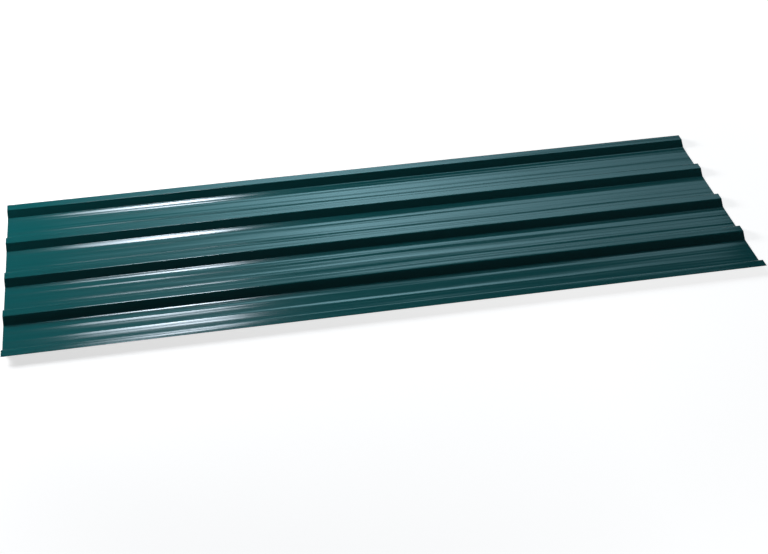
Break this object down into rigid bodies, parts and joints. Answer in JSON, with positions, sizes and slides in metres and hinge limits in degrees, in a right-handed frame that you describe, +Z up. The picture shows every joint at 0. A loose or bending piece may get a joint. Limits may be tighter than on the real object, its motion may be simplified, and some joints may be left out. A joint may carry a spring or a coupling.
{
  "type": "corrugated metal roofing sheet",
  "caption": "Flat-lying pre-painted steel sheet with raised box ribs along its length and fine stiffening swages in its pans, for roofs and fences.",
  "frame": {"origin": "centre of the sheet's footprint, on the plane that its pans rest on", "axes": "+X along the ribs, +Y across the sheet towards the lapping rib, +Z up from the pans towards the rib crowns"},
  "size_m": [1.29, 0.45, 0.0113],
  "materials": {
    "painted_steel": "semi-gloss baked coating, dark green, over galvanised steel"
  },
  "bodies": {
    "root": {"corrugated_sheet": "painted_steel"}
  },
  "joints": []
}
